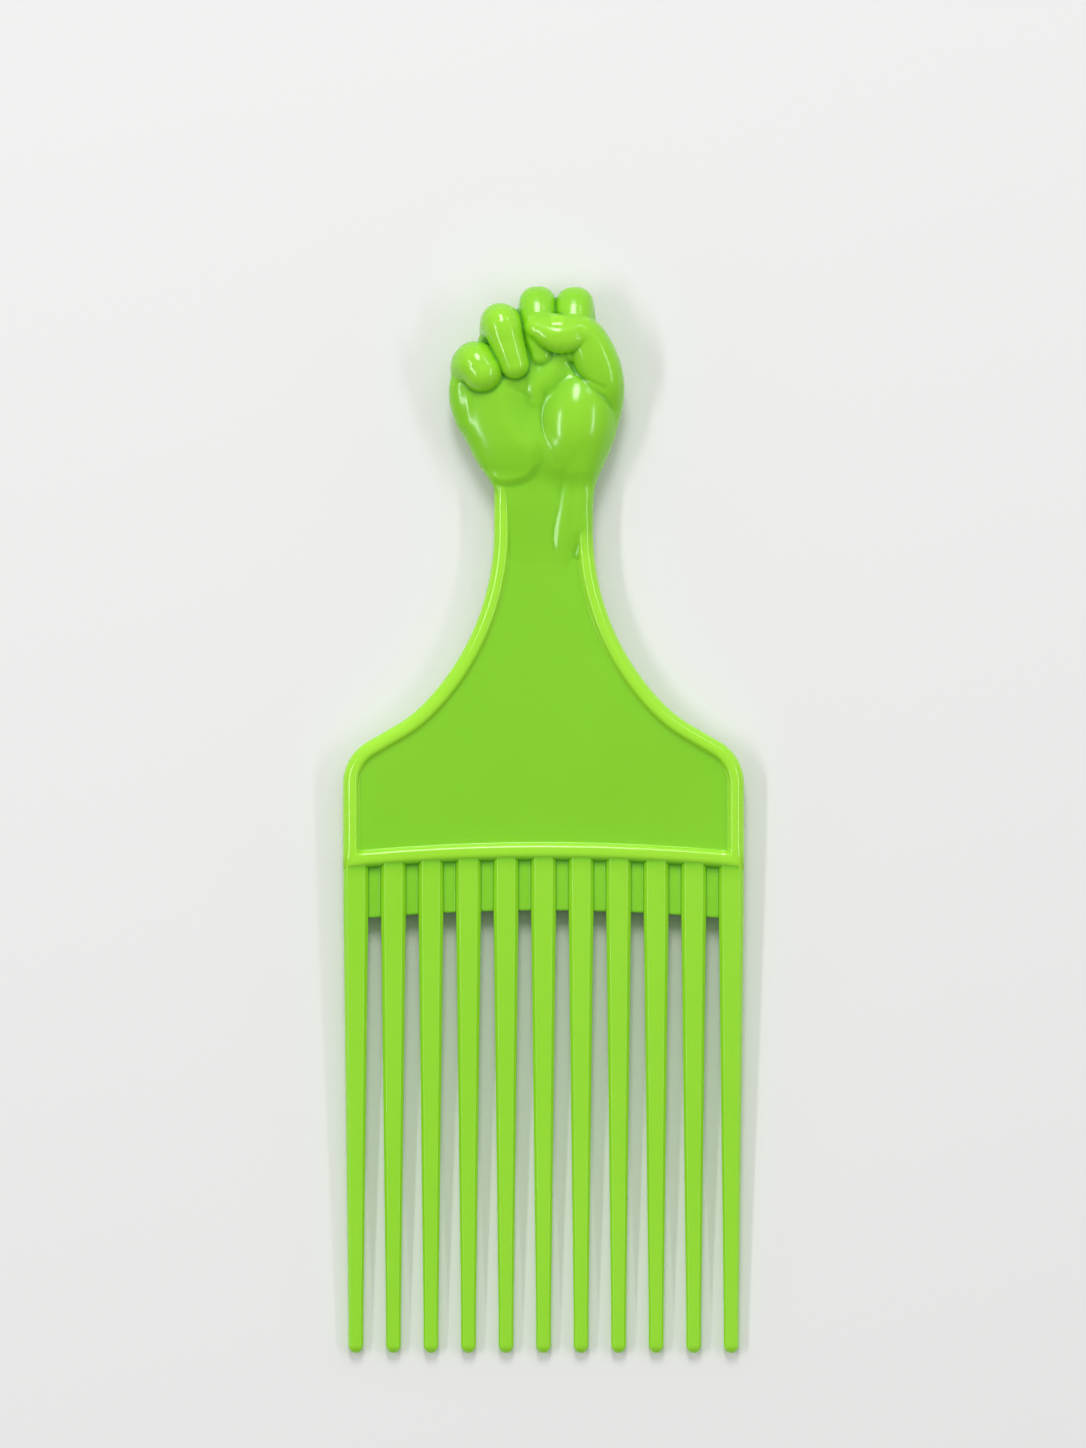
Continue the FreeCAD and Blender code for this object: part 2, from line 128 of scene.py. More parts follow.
def rounded_path(corners):
    """Points along an open line of (x, z, radius) corners.

    Each inner corner that has a radius becomes an arc.
    """
    places = [np.array(corner[:2], float) for corner in corners]
    points = []
    for i, here in enumerate(places):
        radius = corners[i][2]
        if radius == 0 or i in (0, len(corners) - 1):
            points.append(here)
        else:
            points += corner_arc(places[i - 1], here, places[i + 1], radius)
    return np.array(points)


# The hand's distance field

# It is drawn in units of 0.1815 mm: X from the hand's middle, Y from its heel, Z from the parting plane.
UNIT = 1 / 5.51
HAND_X = -1.27

# Sections of the wrist, the palm and the back of the hand: Y, left, right, front, back, squareness
CORE = np.array([
    (-84, -37.0, 51.0, 6.45, 6.45, 6.0),
    (-74, -37.0, 51.0, 6.68, 6.68, 6.0),
    (-62, -37.0, 51.0, 7.4, 7.4, 6.0),
    (-50, -37.0, 51.0, 8.7, 8.6, 6.5),
    (-34, -37.5, 51.0, 10.7, 10.3, 8.0),
    (-18, -38.5, 52.0, 12.3, 11.9, 9.0),
    (-6, -41.0, 55.0, 12.9, 13.2, 7.0),
    (4, -46.0, 57.0, 13.8, 15.0, 4.6),
    (14, -53.0, 59.0, 15.8, 17.5, 3.2),
    (24, -60.0, 61.5, 18.8, 20.0, 2.8),
    (40, -68.0, 68.5, 22.6, 22.0, 2.6),
    (56, -76.0, 77.0, 24.2, 24.0, 2.6),
    (72, -82.0, 83.0, 24.6, 25.0, 2.6),
    (88, -85.5, 85.5, 24.6, 25.5, 2.6),
    (104, -84.0, 86.0, 24.0, 25.5, 2.6),
    (120, -76.0, 80.0, 22.0, 25.0, 2.6),
    (136, -62.0, 70.0, 20.0, 24.0, 2.6),
    (150, -57.0, 60.0, 17.0, 22.0, 2.6),
    (166, -44.0, 52.0, 12.0, 17.0, 2.6),
    (180, -14.0, 46.0, 6.0, 10.0, 2.6),
    (188, 0.0, 40.0, 2.0, 3.0, 2.6),
], float)
# The step at the heel's edge: middle X and Y of its round, radius, height, and half its width
HEEL_STEP = (-30, 45, 42, 3.5, 4.6)
HEEL_STEP_FADE = (-10.0, 10.0)  # X where the step starts to fade and where it is gone

# Rows of balls that the folds and fingers are drawn round: blend, squareness, lateral lean in degrees, and
# the balls with X, Y, Z and radius
CHAINS = {
    "wrist_side": (5.0, 2.0, 0, (
        (50, 50, -3, 14), (48, 30, 1, 13.5), (46.5, 8, 2.5, 11), (46.8, -14, 3.2, 9.5), (47.3, -40, 3.2, 9.2),
        (48, -66, 2, 8.5),
    )),
    "leaf": (1.2, 2.0, 0, (
        (45, 38, 8, 11), (39.5, 20, 3.4, 15.4), (35.3, 5, -3.2, 19.0), (32, -20, -6.2, 20.8),
        (28, -48, -9.8, 21.6), (26, -68, -10.4, 18.6), (25, -84, -8.8, 15),
    )),
    "palm_edge": (10.0, 2.0, 0, ((-66, 122, 8, 16), (-73, 102, 8, 12.5), (-72, 84, 5, 12), (-68, 68, 2, 11))),
    "web": (6.0, 2.0, 0, ((22, 126, 11, 14), (9, 108, 14, 12), (0, 97, 16.4, 8.5), (-1, 86, 18.8, 3.5))),
    "little": (1.8, 2.0, 0, (
        (-58, 122, -8.5, 19), (-63, 118, 4, 23), (-60, 122, 18, 22), (-54, 114, 21, 21),
    )),
    "ring": (1.6, 2.1, 12, (
        (-36, 148, -7, 20), (-37, 160, 7, 20), (-35.5, 162, 21, 19.8), (-29, 142, 26, 17),
        (-22, 121, 27, 14.6),
    )),
    "middle": (1.6, 2.3, 0, ((5, 165, -8.5, 19), (1, 181, 4, 18.5), (2, 158, 15, 18), (4, 131, 16, 12.5))),
    "index": (1.6, 2.3, -2, ((41, 161, -8.5, 19), (38, 180, 4, 19), (37, 160, 14, 18.5), (33, 135, 12, 16))),
    "thumb": (1.8, 2.4, 0, (
        (58, 56, -8, 21), (66, 84, -2, 21), (65, 106, 8, 22.3), (57, 130, 13, 22.6), (44, 151, 18.5, 19.5),
        (22, 151.5, 24.5, 19.8), (3, 159, 24.5, 15.5),
    )),
}
FOLDS = ("wrist_side", "leaf", "palm_edge", "web")
FINGERS = ("little", "ring", "middle", "index", "thumb")
BALL_SPACING = 3.5
LEAST_LATERAL = 0.5  # below this a row runs too nearly along its lateral direction to be turned by it
REACH = 14.0  # how far round a form its field is worked out

LEAF_DEPTH = 2.0  # how far behind the parting plane the leaf on the wrist reaches
# The leaf's right side melts into the wrist: X of its middle, drift of that with Y, over what width, and how
# much is added to its blend
LEAF_RIGHT = (34.0, 0.15, 10.0, 9.0)
LEAF_RIGHT_FADE = (-75.0, 30.0)  # Y where the added blend starts, and over what length
# Rounded swelling of the thumb's root and the palm's hollow: blend, centre, half sizes, lean in degrees
THENAR = (2.6, (39, 66, -4), (42.5, 59, 40), -8)
PALM_HOLLOW = (12.0, (-6, 78, 52), (26, 46, 29.5), 6)
# Y below which the swelling's blend widens, over what length, and by how much
THENAR_FOOT = (60.0, 45.0, 17.0)
KNUCKLE_DEPTH = 27.3  # where the knuckles are flat, behind the parting plane
CUT_BLEND = 3.0  # how softly a form ends at a flat cut
# The face on the end of the thumb that the nail lies in: a point, degrees that it faces up, blend
NAIL_FACE = ((22, 157, 43.0), 40, 3.5)
NAIL = ((21, 165.0, 36.2), (6.8, 5.6, 0.9), 40)  # centre, half sizes, degrees that it faces up
NAIL_EDGE = 1.4  # radius of its rounded edges
NAIL_BLEND = 1.2
# Fine creases: half width, depth, points
CREASES = (
    (2.6, 0.30, ((22, 105), (10, 93), (4, 80), (4, 66), (8, 50), (15, 36), (20, 22))),
    (2.8, 0.5, ((-30, 100), (-14, 93), (-3, 86))),
    (2.6, 0.25, ((-12, 87), (-3, 81))),
    (2.6, 0.35, ((-9, 106), (-11, 95), (-4, 87))),
    (2.2, 1.0, ((29, 130), (34, 122), (38, 112))),
    (2.4, 0.9, ((42, 110), (54, 104), (68, 97))),
)
CREASE_FULL_Z = 8.0  # the creases have their full depth from here up, and none below the parting plane
FAR = 1e9  # farther than any form
# What is divided by is kept above these
TINY = 1e-9
LEAST_SHARE = 1e-6
LEAST_SLOPE = 1e-12


def smooth_min(a, b, blend):
    """The lower of two fields, rounded where they are nearly equal."""
    share = np.maximum(blend - np.abs(a - b), 0) / blend
    return np.minimum(a, b) - share * share * blend / 4


def smooth_max(a, b, blend):
    """The higher of two fields, rounded where they are nearly equal."""
    return -smooth_min(-a, -b, blend)


def hermite_rows(table, y):
    """The table's columns at y, on a smooth curve through its rows."""
    ys, columns = table[:, 0], table[:, 1:]
    slopes = np.gradient(columns, ys, axis=0)
    i = np.clip(np.searchsorted(ys, y) - 1, 0, len(ys) - 2)
    h = (ys[i + 1] - ys[i])[..., None]
    t = np.clip((y - ys[i])[..., None] / h, 0, 1)
    return ((2 * t**3 - 3 * t**2 + 1) * columns[i] + (t**3 - 2 * t**2 + t) * h * slopes[i]
            + (3 * t**2 - 2 * t**3) * columns[i + 1] + (t**3 - t**2) * h * slopes[i + 1])


def heel_step(x, y):
    """How much the step at the heel raises the palm."""
    step_x, step_y, radius, rise, soft = HEEL_STEP
    inside = radius - np.hypot(x - step_x, np.minimum(y - step_y, 0))
    share = np.clip((inside + soft) / (2 * soft), 0, 1)
    fade_from, fade_to = HEEL_STEP_FADE
    share = share * np.clip((fade_to - x) / (fade_to - fade_from), 0, 1)
    return rise * share * share * (3 - 2 * share)


def core_field(p):
    """About the distance to the wrist, palm and back of the hand."""
    x, y, z = p[..., 0], p[..., 1], p[..., 2]
    left, right, front, back, power = np.moveaxis(hermite_rows(CORE, y), -1, 0)
    front = front + heel_step(x, y)
    middle, half = (left + right) / 2, (right - left) / 2
    depth = np.where(z > 0, front, back)
    u, w = np.abs((x - middle) / half), np.abs(z / depth)
    f = np.maximum((u**power + w**power) ** (1 / power), LEAST_SHARE)
    gx = (u / f) ** (power - 1) / half
    gz = (w / f) ** (power - 1) / depth
    d = (f - 1) / np.sqrt(gx**2 + gz**2 + TINY)
    over = np.maximum(y - CORE[-1, 0], CORE[0, 0] - y)
    return np.where(over > 0, np.hypot(np.maximum(d, 0), over), d)


def fine_balls(balls):
    """The balls with more between them, on a smooth curve."""
    table = np.array(balls, float)
    lengths = np.linalg.norm(np.diff(table[:, :3], axis=0), axis=1)
    along = np.concatenate([[0], np.cumsum(lengths)])
    places = np.linspace(0, along[-1], math.ceil(along[-1] / BALL_SPACING) + 1)
    return hermite_rows(np.column_stack([along, table]), places)


FINE_CHAINS = {name: fine_balls(balls) for name, (_, _, _, balls) in CHAINS.items()}


def chain_field(p, power, lean, balls):
    """Distance to a row of balls joined by cones, with a section between round and square."""
    lateral = np.array((math.cos(math.radians(lean)), -math.sin(math.radians(lean)), 0))
    best = np.full(p.shape[:-1], FAR)
    for a, b in zip(balls, balls[1:]):
        along = b[:3] - a[:3]
        length = np.linalg.norm(along)
        axis = along / length
        side = lateral - (lateral @ axis) * axis
        if np.linalg.norm(side) < LEAST_LATERAL:
            side = np.cross(axis, (0, 0, 1.0))
        side = side / np.linalg.norm(side)
        other = np.cross(axis, side)
        q = p - a[:3]
        t = np.clip((q @ axis) / length, 0, 1)
        q = q - t[..., None] * along
        u, v, w = np.abs(q @ side), np.abs(q @ other), q @ axis
        across = (u**power + v**power) ** (1 / power)
        best = np.minimum(best, np.hypot(across, w) - (a[3] + t * (b[3] - a[3])))
    return best


def swelling_field(p, centre, half_sizes, lean):
    """About the distance to an ellipsoid that leans in the plane of the pick."""
    q = p - np.array(centre, float)
    c, s = math.cos(math.radians(lean)), math.sin(math.radians(lean))
    q = np.stack([q[..., 0] * c + q[..., 1] * s, q[..., 1] * c - q[..., 0] * s, q[..., 2]], -1)
    half = np.array(half_sizes, float)
    k0 = np.linalg.norm(q / half, axis=-1)
    k1 = np.linalg.norm(q / half**2, axis=-1)
    return k0 * (k0 - 1) / np.maximum(k1, TINY)


def crease_depth(p, half_width, depth, points):
    """How much a crease sinks the surface at p."""
    best = np.full(p.shape[:-1], FAR)
    for a, b in zip(points, points[1:]):
        a, b = np.array(a, float), np.array(b, float)
        along = b - a
        t = np.clip(((p[..., :2] - a) @ along) / (along @ along), 0, 1)
        best = np.minimum(best, np.linalg.norm(p[..., :2] - a - t[..., None] * along, axis=-1))
    return depth * np.exp(-((best / half_width) ** 2)) * np.clip(p[..., 2] / CREASE_FULL_Z, 0, 1)


def nail_field(p):
    """Distance to the thumb nail, a tilted block with rounded edges."""
    centre, half, tilt = NAIL
    q = p - np.array(centre)
    c, s = math.cos(math.radians(tilt)), math.sin(math.radians(tilt))
    turned = np.stack([q[..., 0], q[..., 1] * c - q[..., 2] * s, q[..., 1] * s + q[..., 2] * c], -1)
    box = np.abs(turned) - np.array(half) + NAIL_EDGE
    outside = np.linalg.norm(np.maximum(box, 0), axis=-1)
    return outside + np.minimum(box.max(-1), 0) - NAIL_EDGE


def thumb_field(q, power, lean, balls):
    """The thumb with the flat face on its end and the nail in that face."""
    thumb = chain_field(q, power, lean, balls)
    point, tilt, blend = NAIL_FACE
    normal = np.array((0, math.sin(math.radians(tilt)), math.cos(math.radians(tilt))))
    thumb = smooth_max(thumb, (q - np.array(point)) @ normal, blend)
    return smooth_min(thumb, nail_field(q), NAIL_BLEND)


def leaf_blend(q):
    """What is added to the leaf's blend on its right side."""
    middle_x, drift, width, added = LEAF_RIGHT
    from_y, length = LEAF_RIGHT_FADE
    right = (q[:, 0] - middle_x - drift * q[:, 1]) / width
    return added * np.clip(right, 0, 1) * np.clip((q[:, 1] - from_y) / length, 0, 1)


def join_chain(d, q, name):
    """Joins a fold or finger to the field d, near that form only."""
    balls = FINE_CHAINS[name]
    blend, power, lean, _ = CHAINS[name]
    size = balls[:, 3:]
    low, high = (balls[:, :3] - size).min(0) - REACH, (balls[:, :3] + size).max(0) + REACH
    near = np.all((q > low) & (q < high), axis=-1)
    if name == "thumb":
        form = thumb_field(q[near], power, lean, balls)
    else:
        form = chain_field(q[near], power, lean, balls)
    if name == "leaf":
        form = smooth_max(form, -q[near, 2] - LEAF_DEPTH, CUT_BLEND)
        blend = blend + leaf_blend(q[near])
    d[near] = smooth_min(d[near], form, blend)


def hand_field(points):
    """About the signed distance to the hand and wrist at points in millimetres."""
    q = points.reshape(-1, 3) - np.array((HAND_X, HEEL_Y, MID_Z))
    q = q / UNIT
    blend, *hollow = PALM_HOLLOW
    d = smooth_max(core_field(q), -swelling_field(q, *hollow), blend)
    for name in FOLDS:
        join_chain(d, q, name)
    blend, *thenar = THENAR
    foot_y, foot_length, foot_blend = THENAR_FOOT
    wider = foot_blend * np.clip((foot_y - q[:, 1]) / foot_length, 0, 1)
    d = smooth_min(d, swelling_field(q, *thenar), blend + wider)
    for name in FINGERS:
        join_chain(d, q, name)
    d = d + np.max([crease_depth(q, *crease) for crease in CREASES], axis=0)
    d = smooth_max(d, -q[:, 2] - KNUCKLE_DEPTH, CUT_BLEND)
    return d.reshape(points.shape[:-1]) * UNIT


# From a distance field to a mesh
BLOCK = 4  # the field is first looked at once for each block of so many steps
NEAR_BLOCKS = 1.5  # a block this near the surface, in block widths, is worked out in full


def sample_field(field, low, high, step):
    """The field on a grid, worked out in full only in the blocks that the surface can pass through."""
    low, high = np.array(low, float), np.array(high, float)
    blocks = np.ceil((high - low) / (step * BLOCK)).astype(int)
    centres = [low[k] + step * (BLOCK * np.arange(blocks[k]) + (BLOCK - 1) / 2) for k in range(3)]
    coarse = field(np.stack(np.meshgrid(*centres, indexing="ij"), -1))
    values = np.repeat(np.repeat(np.repeat(coarse, BLOCK, 0), BLOCK, 1), BLOCK, 2)
    near = np.argwhere(np.abs(coarse) < step * BLOCK * NEAR_BLOCKS)
    offsets = np.stack(np.meshgrid(*[np.arange(BLOCK)] * 3, indexing="ij"), -1).reshape(-1, 3)
    index = (near[:, None, :] * BLOCK + offsets[None]).reshape(-1, 3)
    values[index[:, 0], index[:, 1], index[:, 2]] = field(low + index * step)
    return values, low


def surface_net(values, low, step):
    """A closed mesh of quads where the grid's values change sign."""
    inside = values < 0
    shape = np.array(values.shape) - 1
    corners = [(i, j, k) for i in (0, 1) for j in (0, 1) for k in (0, 1)]

    def at_corner(array, c):
        return array[c[0]:c[0] + shape[0], c[1]:c[1] + shape[1], c[2]:c[2] + shape[2]]

    count = sum(at_corner(inside, c).astype(np.int8) for c in corners)
    cells = np.argwhere((count > 0) & (count < len(corners)))
    number = np.full(shape, -1, int)
    number[tuple(cells.T)] = np.arange(len(cells))
    total, hits = np.zeros((len(cells), 3)), np.zeros(len(cells))
    for c in corners:
        for axis in range(3):
            if c[axis]:
                continue
            e = list(c)
            e[axis] = 1
            a = values[tuple((cells + c).T)]
            b = values[tuple((cells + e).T)]
            crossing = (a < 0) != (b < 0)
            t = np.where(crossing, a / np.where(crossing, a - b, 1), 0)
            point = np.tile(np.array(c, float), (len(cells), 1))
            point[:, axis] = t
            total += point * crossing[:, None]
            hits += crossing
    vertices = low + (cells + total / hits[:, None]) * step
    quads = []
    for axis in range(3):
        u, v = (axis + 1) % 3, (axis + 2) % 3
        a = np.take(inside, range(shape[axis]), axis)
        b = np.take(inside, range(1, shape[axis] + 1), axis)
        for rising in (True, False):
            edges = np.argwhere(a & ~b if rising else ~a & b)
            within_u = (edges[:, u] > 0) & (edges[:, u] < shape[u])
            within_v = (edges[:, v] > 0) & (edges[:, v] < shape[v])
            edges = edges[within_u & within_v]
            ring = []
            for du, dv in ((1, 1), (0, 1), (0, 0), (1, 0)):
                cell = edges.copy()
                cell[:, u] -= du
                cell[:, v] -= dv
                ring.append(number[tuple(cell.T)])
            quad = np.stack(ring, -1)
            quads.append(quad if rising else quad[:, ::-1])
    return vertices, np.vstack(quads)


def gradient(field, points, reach=0.04):
    """The direction in which the field grows, from its values a short way to both sides."""
    parts = []
    for axis in range(3):
        step = np.zeros(3)
        step[axis] = reach
        parts.append(field(points + step) - field(points - step))
    slope = np.stack(parts, -1)
    return slope / np.maximum(np.linalg.norm(slope, axis=-1, keepdims=True), LEAST_SLOPE)


def settle(field, points, rounds=2, most=0.15):
    """Moves the points onto the surface."""
    for _ in range(rounds):
        d = np.clip(field(points), -most, most)
        points = points - gradient(field, points) * d[:, None]
    return points


def smooth_mesh(vertices, quads, rounds, shares):
    """Moves each vertex towards its neighbours by each share in turn, or away where the share is negative."""
    edges = np.vstack([quads[:, (0, 1)], quads[:, (1, 2)], quads[:, (2, 3)], quads[:, (3, 0)]])
    count = np.bincount(edges.ravel(), minlength=len(vertices))
    for _ in range(rounds):
        for share in shares:
            total = np.empty_like(vertices)
            for axis in range(3):
                total[:, axis] = np.bincount(edges[:, 0], vertices[edges[:, 1], axis], len(vertices))
                total[:, axis] += np.bincount(edges[:, 1], vertices[edges[:, 0], axis], len(vertices))
            vertices = vertices + share * (total / count[:, None] - vertices)
    return vertices


# The hand's mesh
HAND_LOW = (-19.5, 42.0, -1.0)  # corners of the grid
HAND_HIGH = (17.5, 98.0, 14.4)
HAND_STEP = 0.23
SMOOTHING_ROUNDS = 10
SMOOTHING_SHARES = (0.50, -0.52)  # in and out again, so that the hand doesn't shrink
HAND_PAINTED_LIGHT = 0.5  # the most painted light that height adds
HAND_LIGHT_Z = (8.5, 12.5)  # where painted light on the hand's high parts starts, and where it is strongest
# a painted highlight on the thumb nail
NAIL_PAINTED_HIGHLIGHT = 0.3
VALLEY_ROUNDS = 40
VALLEY_SHARES = (0.5,)
# Below the smoothed mesh, where painted shade in a valley starts and where it is darkest
VALLEY_DEPTHS = (0.03, 0.22)
RIDGE_HEIGHT = 0.20  # above the smoothed mesh, where the painted light on a ridge is strongest
RIDGE_PAINTED_LIGHT = 0.35


def share_between(values, limits):
    """How far each value is from the first limit to the second, as a share that stays between 0 and 1."""
    low, high = limits
    return np.clip((values - low) / (high - low), 0, 1)


def hand_object(material):
    """The hand and wrist as one closed mesh, with painted light on high parts and ridges and painted shade in
    valleys.
    """
    values, low = sample_field(hand_field, HAND_LOW, HAND_HIGH, HAND_STEP)
    vertices, quads = surface_net(values, low, HAND_STEP)
    vertices = settle(hand_field, vertices)
    vertices = smooth_mesh(vertices, quads, SMOOTHING_ROUNDS, SMOOTHING_SHARES)
    hand = make_object("hand_and_wrist", vertices, quads, material)
    normals = np.empty(len(vertices) * 3)
    hand.data.vertices.foreach_get("normal", normals)
    smoothed = smooth_mesh(vertices, quads, VALLEY_ROUNDS, VALLEY_SHARES)
    depth = ((smoothed - vertices) * normals.reshape(-1, 3)).sum(1)
    in_units = (vertices - (HAND_X, HEEL_Y, MID_Z)) / UNIT
    # painted light on the high parts and ridges, and painted shade in the valleys, which takes the place of the
    # light there
    raised = HAND_PAINTED_LIGHT * share_between(vertices[:, 2], HAND_LIGHT_Z)
    # the painted highlight on the nail
    nail = NAIL_PAINTED_HIGHLIGHT * np.clip(1 - nail_field(in_units), 0, 1)
    ridge = RIDGE_PAINTED_LIGHT * np.clip(-depth / RIDGE_HEIGHT, 0, 1)
    valley = share_between(depth, VALLEY_DEPTHS)
    set_lightness(hand, (raised + nail + ridge) * (1 - valley) - valley)
    return hand


# The swept bead and the panel

# The bead's profile runs from the parting line on the outside over the crest down to the panel. Each corner has
# a distance inward, a height and a radius. The inner corners are measured outward from the bead's inner edge.
BEAD_OUTER = ((0, 0, 0), (0, RIM_HALF, 1.74))
BEAD_INNER = ((0.10, RIM_HALF, 0.80), (-0.30, PANEL_HALF, 0.22), (-0.76, PANEL_HALF, 0))
BEAD_TOP_Y = 64.0  # where the swept body ends, inside the heel of the hand
FLAT_FACES = 3  # the panel in front and behind, and the end inside the hand
# How many steps each part of the body's side takes, and how many the crossbar takes
NECK_STEPS = 12
FLARE_STEPS = 49
TOE_STEPS = 8
STRAIGHT_STEPS = 6
SHOULDER_STEPS = 21
EDGE_STEPS = 13
CROSSBAR_STEPS = 60
# The bead's painted light, and the painted shade on the crossbar's lower flank
BEAD_FADE_Y = (62.5, 54.5)  # where the painted light on the left and the right bead starts, near the hand
BEAD_FADE = 7.0
INNER_FADE_POINTS = 5  # over how many points of the profile the bead's painted light fades to the panel's plain colour
FLANK_HEIGHTS = (0.9, 1.5, 2.0, 2.25)  # on the crossbar's lower flank, with painted shade low down in the valley above the teeth and painted light near the crest
FLANK_LIGHT_AND_SHADE = (-1.0, -0.8, 0.2, 1.0)


def bead_profile(width):
    """Inward distance and height of the points across a bead of the given width."""
    return rounded_path(list(BEAD_OUTER) + [(width - x, z, radius) for x, z, radius in BEAD_INNER])


def arch(x, y, reach):
    """Height at x of the crossbar's curve that is at y in the middle and ends at reach."""
    drop = CROSSBAR_RISE * (reach / HALF_WIDTH) ** 2
    radius = (reach**2 + drop**2) / (2 * drop)
    return y - radius + np.sqrt(radius**2 - np.asarray(x) ** 2)


def arc_stations(centre, radius, angles):
    """Stations round an arc. A negative radius puts them on the side of its centre that faces the pick."""
    spokes = [np.array((math.cos(angle), math.sin(angle))) for angle in angles]
    return [(centre + spoke * radius, -spoke) for spoke in spokes]


def side_stations():
    """Right side of the body from inside the hand down to the crossbar: outer point and inward direction."""
    inward = np.array((-1.0, 0.0))
    flare_top = HEEL_Y - NECK_LENGTH
    stations = []
    for y in np.linspace(BEAD_TOP_Y, flare_top, NECK_STEPS + 1)[:-1]:
        stations.append((np.array((NECK_HALF_WIDTH, y)), inward))
    centre = np.array((NECK_HALF_WIDTH + FLARE_RADIUS, flare_top))
    stations += arc_stations(centre, -FLARE_RADIUS, np.linspace(0, FLARE_TURN, FLARE_STEPS + 1))
    along = np.array((math.cos(FLARE_TURN), math.sin(FLARE_TURN)))
    centre = stations[-1][0] + along * TOE_RADIUS
    heading = FLARE_TURN + TOE_TURN
    stations += arc_stations(centre, -TOE_RADIUS, np.linspace(FLARE_TURN, heading, TOE_STEPS + 1)[1:])
    start, slant_inward = stations[-1]
    run = HALF_WIDTH - SHOULDER_RADIUS * (1 - math.cos(heading)) - start[0]
    down = np.array((math.sin(heading), -math.cos(heading)))
    for i in range(1, STRAIGHT_STEPS + 1):
        stations.append((start + down * run / math.sin(heading) * i / STRAIGHT_STEPS, slant_inward))
    centre = stations[-1][0] + slant_inward * SHOULDER_RADIUS
    stations += arc_stations(centre, SHOULDER_RADIUS, np.linspace(heading, 0, SHOULDER_STEPS + 1)[1:])
    inner_x = HALF_WIDTH - RIM_WIDTH
    low_y = arch(inner_x, CROSSBAR_Y + CROSSBAR_WIDTH, inner_x)
    for y in np.linspace(stations[-1][0][1], low_y, EDGE_STEPS + 1)[1:-1]:
        stations.append((np.array((HALF_WIDTH, y)), inward))
    return stations


def crossbar_rows(bar, rim, reach_in):
    """Rows of points across the crossbar from left to right, with a mitre at each end."""
    bar_share = bar[:, 0] / bar[:, 0].max()
    rim_share = rim[:, 0] / rim[:, 0].max()
    high_y = CROSSBAR_Y + bar[-1, 0]
    low_corner = np.array((-HALF_WIDTH, float(arch(HALF_WIDTH, CROSSBAR_Y, HALF_WIDTH))))
    high_corner = np.array((-reach_in, float(arch(reach_in, high_y, reach_in))))
    mitre = low_corner + ((rim_share + bar_share) / 2)[:, None] * (high_corner - low_corner)
    rows = [mitre]
    for x in np.linspace(-reach_in, reach_in, CROSSBAR_STEPS + 1)[1:-1]:
        low_y = float(arch(x, CROSSBAR_Y, HALF_WIDTH))
        top_y = float(arch(x, high_y, reach_in))
        rows.append(np.stack([np.full(len(bar), x), low_y + bar_share * (top_y - low_y)], -1))
    return rows + [mitre * (-1, 1)]


def swept_faces(total, count):
    """Faces of the body, with total rows of count points in front and behind. The flat ones come last.

    The first point of a row lies on the parting line and is shared. The rows' other points behind follow
    after all those in front.
    """

    def front(i, j):
        return i * count + j

    def behind(i, j):
        return front(i, 0) if j == 0 else total * count + i * (count - 1) + j - 1

    faces = []
    for i in range(total - 1):
        for j in range(count - 1):
            faces.append((front(i, j), front(i + 1, j), front(i + 1, j + 1), front(i, j + 1)))
            faces.append((behind(i, j), behind(i, j + 1), behind(i + 1, j + 1), behind(i + 1, j)))
    panel_front = [front(i, count - 1) for i in range(total)]
    panel_back = [behind(i, count - 1) for i in range(total)][::-1]
    end = [front(0, j) for j in range(count)]
    end += [front(total - 1, j) for j in range(count)][::-1]
    end += [behind(total - 1, j) for j in range(1, count)]
    end += [behind(0, j) for j in range(count - 1, 0, -1)]
    return faces + [panel_front, panel_back, end]


def body_object(material):
    """The bead round the panel, swept in front and behind, with the panel between."""
    rim, bar = bead_profile(RIM_WIDTH), bead_profile(CROSSBAR_WIDTH)
    count = len(rim)
    if len(bar) != count:
        raise ValueError("the bead's two profiles differ in points")
    right = [point + rim[:, :1] * inward for point, inward in side_stations()]
    left = [row * (-1, 1) for row in right]
    across_bar = crossbar_rows(bar, rim, HALF_WIDTH - rim[-1, 0])
    rows = left + across_bar + right[::-1]
    heights = [rim[:, 1]] * len(left) + [bar[:, 1]] * len(across_bar) + [rim[:, 1]] * len(right)
    vertices = []
    for row, z in zip(rows, heights):
        vertices += [(x, y, MID_Z + h) for (x, y), h in zip(row, z)]
    for row, z in zip(rows, heights):
        vertices += [(x, y, MID_Z - h) for (x, y), h in zip(row[1:], z[1:])]
    faces = swept_faces(len(rows), count)
    body = make_object("bead_and_panel", vertices, faces, material)
    for polygon in body.data.polygons[len(faces) - FLAT_FACES:]:
        polygon.use_smooth = False

    # painted light on the bead, fading out across it to the panel's plain colour, and away near the hand
    across = np.clip((count - 1 - np.arange(count)) / INNER_FADE_POINTS, 0, 1)
    # painted shade down the crossbar's lower flank, in the valley above the teeth
    flank = np.interp(bar[:, 1], FLANK_HEIGHTS, FLANK_LIGHT_AND_SHADE)
    on_flank = bar[:, 0] <= BEAD_OUTER[1][2]
    bar_light_and_shade = np.where(on_flank, np.minimum(flank, across), across)
    left_y, right_y = BEAD_FADE_Y
    bead_light_and_shade = [across * np.clip((left_y - row[:, 1]) / BEAD_FADE, 0, 1) for row in left]
    bead_light_and_shade += [across] + [bar_light_and_shade] * (len(across_bar) - 2) + [across]
    bead_light_and_shade += [across * np.clip((right_y - row[:, 1]) / BEAD_FADE, 0, 1) for row in right[::-1]]
    set_lightness(body, np.concatenate(bead_light_and_shade + [row[1:] for row in bead_light_and_shade]))
    return body


